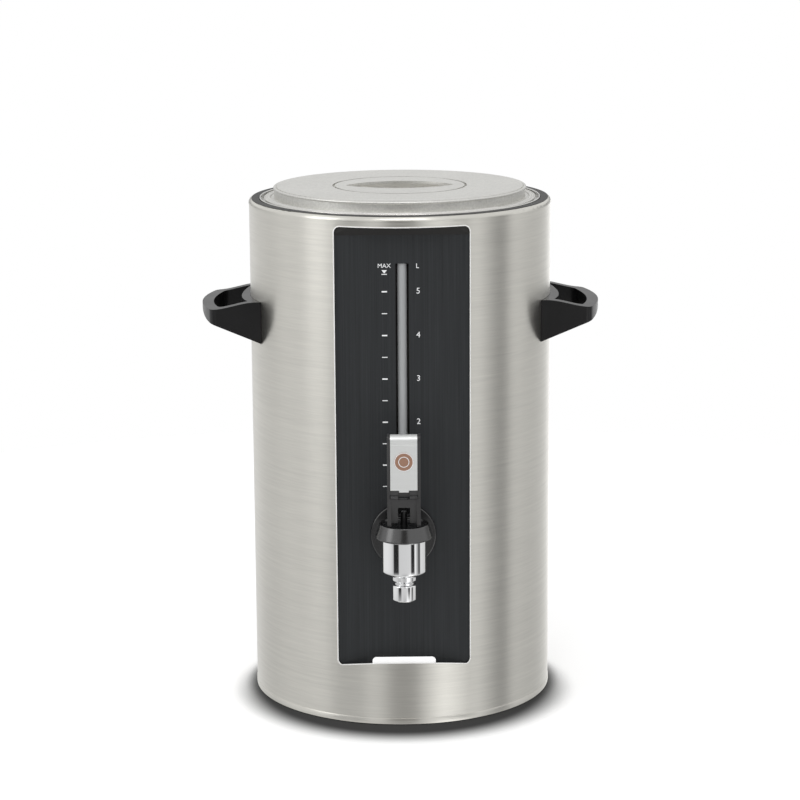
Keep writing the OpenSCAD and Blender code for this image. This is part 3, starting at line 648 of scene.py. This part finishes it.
class URN_OT_stage(bpy.types.Operator):
    """Sets the camera, the pale floor and the soft light"""

    bl_idname = "urn.stage"
    bl_label = "Studio"

    # Lamps: name, place, aim, size of the face, and power in watts
    lamps = (
        ("Softbox front", (0.05, -1.1, 1.65), (0.0, 0.0, 0.3), (0.9, 0.6), 4.5),
        ("Softbox left", (-1.7, -0.9, 1.1), (0.0, 0.0, 0.25), (0.9, 1.4), 6.0),
    )

    def execute(self, context):
        studio = context.scene.urn_studio
        context.scene.view_settings.view_transform = "Standard"
        self.make_camera(studio)
        self.make_floor(studio)
        self.make_world()
        for lamp in self.lamps:
            self.make_softbox(*lamp)
        return {"FINISHED"}

    def make_camera(self, studio):
        scene = bpy.context.scene
        camera = bpy.data.objects.new("Camera", bpy.data.cameras.new("Camera"))
        scene.collection.objects.link(camera)
        camera.location = Vector(studio.camera_place) + Vector((0, AXIS_Y * MM, 0))
        camera.rotation_euler = (math.radians(90) - studio.camera_pitch, 0, -studio.camera_yaw)
        camera.rotation_euler.rotate_axis("Z", studio.camera_roll)
        camera.data.sensor_width = 36.0
        camera.data.lens = studio.camera_lens
        camera.data.clip_start, camera.data.clip_end = 0.05, 50.0
        scene.camera = camera

    # Shares of open air round a point of the floor between which the painted crease shade clears
    crease_ends = (0.42, 0.80)
    # Distances from the shell's face, in metres, at which the painted soft shadow of the foot
    # clears
    shade_ends = (-0.010, 0.024)
    # Grey of the floor in the painted shade and in the clear, and how much it glows in the clear
    floor_dark, floor_white, floor_glow = 0.06, 0.92, 0.25

    def make_floor(self, studio):
        bm = bmesh.new()
        bmesh.ops.create_circle(bm, cap_ends=True, segments=128, radius=studio.table_radius)
        mesh = bpy.data.meshes.new("Floor")
        bm.to_mesh(mesh)
        bm.free()
        floor = bpy.data.objects.new("Floor", mesh)
        bpy.context.scene.collection.objects.link(floor)
        floor.visible_glossy = False
        f = new_finish("Floor white")
        rays = f.node("LightPath")
        mirrored = f.either(rays.out("Is Glossy Ray"), rays.out("Is Transmission Ray"))
        seen = f.either(rays.out("Is Camera Ray"), mirrored)
        # Painted shade: an occlusion reading darkens the floor's colour and glow in the crease
        # round the foot, and a ring slope paints a soft shadow that lies a little in front of the
        # foot
        crease = f.node("AmbientOcclusion", {"samples": 16}, None, studio.shade_reach).out("AO")
        middle = f.place((0.0, AXIS_Y * MM - studio.shade_forward, 0.0))
        away = f.node("VectorMath", {"operation": "LENGTH"}, middle).out("Value")
        shell = node_span("outer_shell")[1].x * MM
        soft = f.slope(away, tuple(shell + end for end in self.shade_ends))
        clear = f.slope(crease, self.crease_ends) * soft
        white = f.blend(clear, (self.floor_dark,) * 3, (self.floor_white,) * 3)
        glow = f.node("Emission", None, (1.0, 1.0, 1.0), seen * clear * self.floor_glow)
        lit = f.node("AddShader", None, f.node("BsdfDiffuse", None, white), glow)
        f.node("OutputMaterial", None, lit)
        mesh.materials.append(f.owner)

    # Levels of the studio's walls, near the table and above it, by bearing in degrees: 0 is the
    # camera's side and 90 is +X
    low_walls = (
        (-180, 0.98), (-165, 0.84), (-150, 0.64), (-138, 0.48), (-125, 0.42), (-112, 0.47),
        (-100, 0.52), (-65, 0.55), (-45, 0.74), (-32, 0.74), (-20, 0.60), (-10, 0.50), (-5, 0.42),
        (12, 0.42), (20, 0.66), (29, 1.30), (38, 1.70), (47, 1.60), (58, 0.74), (75, 0.44),
        (85, 0.34), (90, 0.40), (97, 0.52), (115, 0.41), (135, 0.46), (150, 0.72), (165, 0.90),
        (180, 1.0),
    )
    high_walls = (
        (-180, 0.98), (-165, 0.82), (-140, 0.74), (-125, 0.76), (-95, 0.76), (-75, 0.70),
        (-66, 0.62), (-59, 0.50), (-54, 0.02), (-31, 0.02), (-26, 0.60), (32, 0.64), (37, 0.02),
        (52, 0.03), (56, 0.95), (60, 0.80), (66, 0.56), (71, 0.38), (75, 0.22), (80, 0.06),
        (86, 0.10), (92, 0.70), (98, 0.69), (120, 0.63), (136, 0.64), (150, 0.80), (158, 1.10),
        (170, 1.70),
    )
    # Heights of a direction, from -1 straight down to 1 straight up, between which the upper
    # walls take over from the lower ones, and the ceiling from the walls, with its level
    wall_ends, ceiling_ends, ceiling = (-0.315, -0.275), (-0.05, 0.15), 0.80
    # Dark band behind the urn: its strength by height from 0 to 1, its start, and its level
    band_stops = ((0.475, 0.0), (0.495, 1.0), (0.54, 1.0), (0.575, 0.0))
    band_ends, band = (0.1, 0.5), 0.22
    # Dark patch before the urn: ends of its side, foot and top, and its colour
    patch_side, patch_foot, patch_top = (0.17, 0.25), (-0.26, -0.18), (0.40, 0.60)
    patch = (0.05, 0.042, 0.036)
    # Level of the room on matt surfaces
    matt_level = 0.85

    def make_world(self):
        """White to the camera and through glass; in metal, a pale studio with darker gaps."""
        world = bpy.data.worlds.new("Studio")
        bpy.context.scene.world = world
        f = Finish(world)
        rays = f.node("LightPath")
        way = f.node("SeparateXYZ", None, f.node("TexCoord").out("Generated"))
        bearing = f.node("Math", {"operation": "ARCTAN2"}, way, way.out("Y") * -1.0)
        turn = bearing / (2 * math.pi) + 0.5
        low, high = (
            f.node("ValToRGB", {"stops": [((a + 180) / 360, level) for a, level in ring]}, turn)
            for ring in (self.low_walls, self.high_walls)
        )
        walls = f.blend(f.slope(way.out("Z"), self.wall_ends), low, high)
        room = f.blend(f.slope(way.out("Z"), self.ceiling_ends), walls, (self.ceiling,) * 3)
        height = f.node("MapRange", None, way.out("Z"), -1.0, 1.0, 0.0, 1.0)
        belt = f.node("ValToRGB", {"stops": self.band_stops}, height)
        behind = f.slope(way.out("Y"), self.band_ends)
        room = f.blend(belt * behind, room, (self.band,) * 3)
        aside = f.node("Math", {"operation": "ABSOLUTE"}, way.out("X"))
        before = f.slope(aside, self.patch_side, 1.0, 0.0) * (way.out("Y") < 0.0)
        foot = f.slope(way.out("Z"), self.patch_foot)
        top = f.slope(way.out("Z"), self.patch_top, 1.0, 0.0)
        room = f.blend(before * foot * top, room, self.patch)
        metal = f.node("Background", None, room, 1.0)
        matt = f.node("Background", None, (1.0, 1.0, 1.0), self.matt_level)
        white = f.node("Background", None, (1.0, 1.0, 1.0), 1.0)
        lit = f.node("MixShader", None, rays.out("Is Glossy Ray"), matt, metal)
        open_air = f.either(rays.out("Is Camera Ray"), rays.out("Is Transmission Ray"))
        f.node("OutputWorld", None, f.node("MixShader", None, open_air, lit, white))

    def make_softbox(self, name, place, aim, size, power):
        light = bpy.data.lights.new(name, "AREA")
        light.shape = "RECTANGLE"
        light.size, light.size_y = size
        light.energy = power
        lamp = bpy.data.objects.new(name, light)
        lamp.location = place
        lamp.rotation_euler = (Vector(place) - Vector(aim)).to_track_quat("Z", "Y").to_euler()
        bpy.context.scene.collection.objects.link(lamp)


class URN_OT_shell(bpy.types.Operator):
    """Finishes the shell, the top ring, the tank and the base"""

    bl_idname = "urn.shell"
    bl_label = "Shell and Tank"

    def execute(self, context):
        self.edge_window()
        self.roll_hem()
        dress("outer_shell", "top_ring", "inner_tank", "tank_floor", "insulation", "base_plate")
        dress("feet", "foot_screws")
        return {"FINISHED"}

    # Corner radius of the window, and width and half-thickness of the edge round it, which is made
    # bright by a painted highlight
    window_corner = 4.5
    edge_width = 0.8
    edge_height = 0.06
    # Where the window's outline runs: before this depth, above this height, below the top by
    # this much, and no deeper under the shell's face than this
    window_depth, window_foot, window_top, skin = -100.0, 30.0, 4.0, 0.3

    def window_outline(self, bm, radius, top):
        """Edges between the shell's face and the cut wall of its window."""

        def at_window(vert):
            before = vert.co.xy.length > radius - self.skin and vert.co.y < self.window_depth
            return before and self.window_foot < vert.co.z < top - self.window_top

        outline = [
            e
            for e in bm.edges
            if e.is_manifold
            and e.calc_face_angle(0.0) > math.radians(WINDOW_ANGLE)
            and all(at_window(v) for v in e.verts)
        ]
        if not outline:
            raise RuntimeError("the shell has no window edge")
        return set(outline)

    def edge_window(self):
        """The deburred edge round the window, which lies on the shell's face; its brightness is a
        painted highlight, a white finish that glows.
        """
        high = node_span("outer_shell")[1]
        radius = high.x - ROLL_REACH
        bm = merged_copy("outer_shell")
        bmesh.ops.transform(bm, matrix=to_frame().inverted(), verts=bm.verts)
        kept = self.window_outline(bm, radius, high.z)
        bmesh.ops.delete(bm, geom=bm.faces[:], context="FACES_ONLY")
        bmesh.ops.delete(bm, geom=[e for e in bm.edges if e not in kept], context="EDGES")
        half = max(v.co.x for v in bm.verts) - self.window_corner
        foot = min(v.co.z for v in bm.verts) + self.window_corner
        top = max(v.co.z for v in bm.verts) - self.window_corner
        band = bmesh.ops.extrude_edge_only(bm, edges=bm.edges[:])["geom"]
        for vert in verts_of(band):
            core = Vector((min(max(vert.co.x, -half), half), min(max(vert.co.z, foot), top)))
            away = (Vector((vert.co.x, vert.co.z)) - core).normalized() * self.edge_width
            vert.co.x += away.x
            vert.co.z += away.y
        for vert in bm.verts:
            vert.co.y = -math.sqrt((radius + self.edge_height) ** 2 - vert.co.x**2)
        bmesh.ops.solidify(bm, geom=bm.faces[:], thickness=2 * self.edge_height)
        for vert in bm.verts:
            outside = vert.co.xy.length > radius
            reach = radius + (self.edge_height if outside else -self.edge_height)
            vert.co.xy = vert.co.xy.normalized() * reach
        bmesh.ops.recalc_face_normals(bm, faces=bm.faces)
        finish_piece(bm, "window_edge", "urn", "shell_steel", to_frame(), finish="edge_steel")

    # Profile of the hem: distance from the shell's face and height over its foot
    hem = ((-0.3, 0.0), (0.22, 0.0), (0.3, 0.5), (0.3, 4.1), (0.1, 4.6), (-0.3, 4.7))

    def roll_hem(self):
        """The narrow hem that stands proud round the shell's foot."""
        low, high = node_span("outer_shell")
        radius = high.x - ROLL_REACH
        bm = bmesh.new()
        spin_ring(bm, [(radius + out, low.z + height) for out, height in self.hem], steps=256)
        finish_piece(bm, "shell_hem", "urn", "shell_steel", to_frame(), sharp=25.0)


class URN_OT_panel(bpy.types.Operator):
    """Finishes the front panel, its white foot and the tap's washer"""

    bl_idname = "urn.panel"
    bl_label = "Front Panel"

    def execute(self, context):
        # The sill insert takes the white plastic slot, whose glow is painted light
        dress("front_frame", "front_plate", "sill_insert")
        eased_copy("tap_rosette", "tap_washer", width=0.5, segments=2, finish="washer_plastic")
        self.make_ledge()
        return {"FINISHED"}

    # Fall of the ledge in degrees and its thickness
    ledge_slope, ledge_thickness = 21.9, 0.8
    # Gap to the panel, height over the panel's foot, and distance inside the shell's reach
    ledge_gap, ledge_rise, ledge_inset = 0.1, 2.85, 1.1

    def make_ledge(self):
        """The dark ledge behind the window's lower edge, which falls towards the panel's foot."""
        panel = node_span("front_plate")[0]
        back = panel.y - AXIS_Y - self.ledge_gap
        inside = node_span("outer_shell")[1].x - self.ledge_inset
        bm = bmesh.new()
        bmesh.ops.create_circle(bm, cap_ends=True, segments=192, radius=inside)
        bmesh.ops.bisect_plane(
            bm,
            geom=bm.verts[:] + bm.edges[:] + bm.faces[:],
            plane_co=(0, back, 0),
            plane_no=(0, 1, 0),
            clear_outer=True,
        )
        fall = math.tan(math.radians(self.ledge_slope))
        for vert in bm.verts:
            vert.co.z = -(vert.co.y + inside) * fall
        under = verts_of(bmesh.ops.extrude_face_region(bm, geom=bm.faces[:])["geom"])
        bmesh.ops.translate(bm, verts=under, vec=(0, 0, -self.ledge_thickness))
        bmesh.ops.translate(bm, verts=bm.verts, vec=(0, 0, panel.z + self.ledge_rise))
        bmesh.ops.recalc_face_normals(bm, faces=bm.faces)
        finish_piece(bm, "window_ledge", "urn", "frame_plastic", to_frame())


class URN_OT_scale(bpy.types.Operator):
    """Prints the litre scale beside the sight glass"""

    bl_idname = "urn.scale"
    bl_label = "Litre Scale"

    # Thickness of the ink, heights of a litre's, a half litre's and the highest mark, and the
    # width and height of the arrow
    ink = 0.06
    litre_mark, half_mark, highest_mark = 1.05, 0.65, 0.6
    arrow_size = (4.2, 2.6)
    # Heights over the topmost litre of the arrow, the highest mark and the middles of the words
    arrow_rise, highest_rise, unit_rise, max_rise = 15.3, 13.4, 19.8, 20.0
    # How far a figure's middle stands over its mark, and the sizes and shifts of the words
    figure_rise = 0.6
    unit_height, unit_shift = 3.5, -0.3
    max_height, max_shift = 3.25, 0.1

    def execute(self, context):
        scale = context.scene.urn_scale
        top, litre = scale.top_mark / MM, scale.litre / MM
        left, right = -scale.mark_x / MM, scale.figure_x / MM
        width = scale.mark_width / MM
        bm = bmesh.new()
        for step in range(2 * scale.litres):
            thick = self.half_mark if step % 2 else self.litre_mark
            self.bar(bm, left, top - step * litre / 2, width, thick)
        self.bar(bm, left, top + self.highest_rise, width, self.highest_mark)
        self.arrow(bm, left, top + self.arrow_rise, *self.arrow_size)
        self.print_on_panel(bm, "scale_marks")
        for figure in range(1, scale.litres + 1):
            height = top - (scale.litres - figure) * litre + self.figure_rise
            size = scale.figure_height / MM
            self.words(str(figure), f"scale_figure_{figure}", right, height, size)
        unit_x, max_x = right + self.unit_shift, left + self.max_shift
        self.words("L", "scale_unit", unit_x, top + self.unit_rise, self.unit_height)
        self.words("MAX", "scale_max", max_x, top + self.max_rise, self.max_height)
        return {"FINISHED"}

    def bar(self, bm, x, z, width, height):
        made = bmesh.ops.create_cube(bm, size=1.0)["verts"]
        self.set_down(bm, made, x, z, width, height)

    def arrow(self, bm, x, z, width, height):
        """A triangle that points down at the highest mark."""
        cone = {"segments": 3, "radius1": 0.5, "radius2": 0.5, "depth": 1.0}
        made = bmesh.ops.create_cone(bm, cap_ends=True, **cone)["verts"]
        low, high = min(v.co.y for v in made), max(v.co.y for v in made)
        wide = max(v.co.x for v in made) - min(v.co.x for v in made)
        bmesh.ops.translate(bm, verts=made, vec=(0, -(low + high) / 2, 0))
        lie = Matrix.Rotation(math.radians(180), 4, "Z")
        stand = Matrix.Rotation(math.radians(90), 4, "X")
        bmesh.ops.transform(bm, matrix=stand @ lie, verts=made)
        self.set_down(bm, made, x, z, width / wide, height / (high - low))

    def set_down(self, bm, verts, x, z, width, height):
        """Sizes an upright form of ink and sets it on the panel, before its face."""
        size = Matrix.Diagonal((width, self.ink, height, 1.0))
        place = Matrix.Translation((x, -self.ink / 2, z))
        bmesh.ops.transform(bm, matrix=place @ size, verts=verts)

    def print_on_panel(self, bm, name):
        """Makes a print, drawn round the middle of the panel's face, a piece of its own."""
        place = Matrix.Translation((0, PANEL_Y * MM, 0)) @ Matrix.Scale(MM, 4)
        finish_piece(bm, name, "urn", "white_plastic", place, finish="print")

    def words(self, text, name, x, z, height):
        curve = bpy.data.curves.new(name, "FONT")
        curve.body = text
        curve.align_x, curve.align_y = "CENTER", "CENTER"
        curve.size = 1.0
        holder = bpy.data.objects.new(name, curve)
        bpy.context.scene.collection.objects.link(holder)
        bm = bmesh.new()
        bm.from_mesh(holder.evaluated_get(bpy.context.evaluated_depsgraph_get()).to_mesh())
        bpy.data.objects.remove(holder)
        bmesh.ops.remove_doubles(bm, verts=bm.verts, dist=1e-5)
        low = Vector([min(v.co[i] for v in bm.verts) for i in range(3)])
        high = Vector([max(v.co[i] for v in bm.verts) for i in range(3)])
        bmesh.ops.translate(bm, verts=bm.verts, vec=-(low + high) / 2)
        bmesh.ops.scale(bm, verts=bm.verts, vec=(height / (high.y - low.y),) * 3)
        upright = Matrix.Rotation(math.radians(90), 3, "X")
        bmesh.ops.rotate(bm, verts=bm.verts, cent=(0, 0, 0), matrix=upright)
        front = verts_of(bmesh.ops.extrude_face_region(bm, geom=bm.faces[:])["geom"])
        bmesh.ops.translate(bm, verts=front, vec=(0, -self.ink, 0))
        bmesh.ops.translate(bm, verts=bm.verts, vec=(x, 0, z))
        bmesh.ops.recalc_face_normals(bm, faces=bm.faces)
        self.print_on_panel(bm, name)


class URN_OT_gauge(bpy.types.Operator):
    """Finishes the sight glass and its fittings"""

    bl_idname = "urn.gauge"
    bl_label = "Sight Gauge"

    def execute(self, context):
        dress("gauge_tube", "gauge_tee", "gauge_cap", "gauge_seals")
        return {"FINISHED"}


class URN_OT_tap(bpy.types.Operator):
    """Builds the tap's visible pieces with eased edges, and its spring"""

    bl_idname = "urn.tap"
    bl_label = "Tap"

    def execute(self, context):
        seam = node_span("tap_body")[0].z * MM
        eased_copy("tap_body", "tap_casting", width=0.5, segments=3, seam=seam)
        eased_copy("tap_spout", "tap_bowl", width=0.35, segments=3, angle=20.0, seam=seam)
        eased_copy("tap_nozzle", "tap_outlet", width=0.25, segments=2)
        eased_copy("tap_bonnet", "tap_cap", width=0.3, segments=2, finish="cap_plastic")
        dress("shank_nut", "shank_seals", "stem_seal", "valve_stem", "valve_cup")
        self.make_spring()
        return {"FINISHED"}

    def make_spring(self):
        """The return spring, as a merged copy of the imported one with a mesh of its own."""
        low, high = node_span("return_spring")
        joints = frame["record"]["behaviour"]["joints"]
        lift = next(joint["range_m"][1] for joint in joints if joint["name"] == "valve_lift")
        copy = merged_copy("return_spring")
        spring = finish_piece(
            copy, "valve_spring", "urn", "bright_steel", replaced=("return_spring",)
        )
        keep = 1 - lift / ((high.z - low.z) * MM)
        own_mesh(spring)


class URN_OT_lever(bpy.types.Operator):
    """Builds the lever, its insert and its badge"""

    bl_idname = "urn.lever"
    bl_label = "Lever"

    def execute(self, context):
        eased_copy("lever_frame", "lever_moulding", width=0.4, segments=3, finish="lever_plastic")
        eased_copy("lever_insert", "lever_plate", width=0.15, segments=2)
        dress("lever_badge", "lever_pin")
        self.ring_badge()
        return {"FINISHED"}

    # Middle radius and width of the rings printed on the badge, and the thickness of their ink
    rings = ((7.0, 0.5), (3.9, 0.45))
    ink = 0.06

    def ring_badge(self):
        """Plain light rings printed on the badge, in its own plane."""
        mesh = frame["nodes"]["lever_badge"].data
        faces = [face for face in mesh.polygons if face.area > 1e-8]
        out = min(faces, key=lambda face: face.normal.y).normal.normalized()
        corners = [v.co for v in mesh.vertices]
        top = max(c.dot(out) for c in corners)
        front = [c for c in corners if top - c.dot(out) < NEAR]
        middle = sum(front, Vector()) / len(front)
        bm = bmesh.new()
        for radius, width in self.rings:
            inner, outer = radius - width / 2, radius + width / 2
            profile = ((inner, 0.0), (outer, 0.0), (outer, self.ink), (inner, self.ink))
            spin_ring(bm, profile, steps=72)
        turn = out.to_track_quat("Z", "Y").to_matrix().to_4x4()
        place = Matrix.Translation(middle) @ turn @ Matrix.Scale(MM, 4)
        finish_piece(bm, "badge_rings", "lever", "white_plastic", place, finish="print")


class URN_OT_handles(bpy.types.Operator):
    """Builds both side handles with rounded edges"""

    bl_idname = "urn.handles"
    bl_label = "Handles"

    def execute(self, context):
        for side in ("left", "right"):
            eased_copy(f"handle_{side}", f"grip_{side}", width=1.1, segments=3, angle=30.0)
        dress("handle_brackets", "handle_screws")
        return {"FINISHED"}


class URN_OT_lid(bpy.types.Operator):
    """Finishes the lid"""

    bl_idname = "urn.lid"
    bl_label = "Lid"

    def execute(self, context):
        dress("lid_cover", "lid_grip", "lid_pan", "lid_core", "lid_seal")
        # The finger cup takes a lightened copy of the lid's steel, whose brightness is a painted
        # reflection
        dress("lid_cup", finish="cup_steel")
        return {"FINISHED"}


class URN_PT_panel(bpy.types.Panel):
    """Lists the urn's pieces and their settings"""

    bl_idname = "URN_PT_panel"
    bl_label = "Drinks Urn"
    bl_space_type = "VIEW_3D"
    bl_region_type = "UI"
    bl_category = "Urn"

    def draw(self, context):
        for operator in OPERATORS:
            self.layout.operator(operator.bl_idname)
        for name in GROUPS:
            group = getattr(context.scene, name)
            column = self.layout.column(align=True)
            for setting in group.__annotations__:
                column.prop(group, setting)


GROUPS = {"urn_scale": UrnScale, "urn_colours": UrnColours, "urn_studio": UrnStudio}
OPERATORS = (
    URN_OT_stage,
    URN_OT_shell,
    URN_OT_panel,
    URN_OT_scale,
    URN_OT_gauge,
    URN_OT_tap,
    URN_OT_lever,
    URN_OT_handles,
    URN_OT_lid,
)


def register():
    for cls in (*GROUPS.values(), *OPERATORS, URN_PT_panel):
        bpy.utils.register_class(cls)
    for name, group in GROUPS.items():
        setattr(bpy.types.Scene, name, bpy.props.PointerProperty(type=group))


def unregister():
    for name in GROUPS:
        delattr(bpy.types.Scene, name)
    for cls in reversed((*GROUPS.values(), *OPERATORS, URN_PT_panel)):
        bpy.utils.unregister_class(cls)


def main():
    register()
    for operator in OPERATORS:
        group, name = operator.bl_idname.split(".")
        getattr(getattr(bpy.ops, group), name)()


if __name__ == "__main__":
    main()
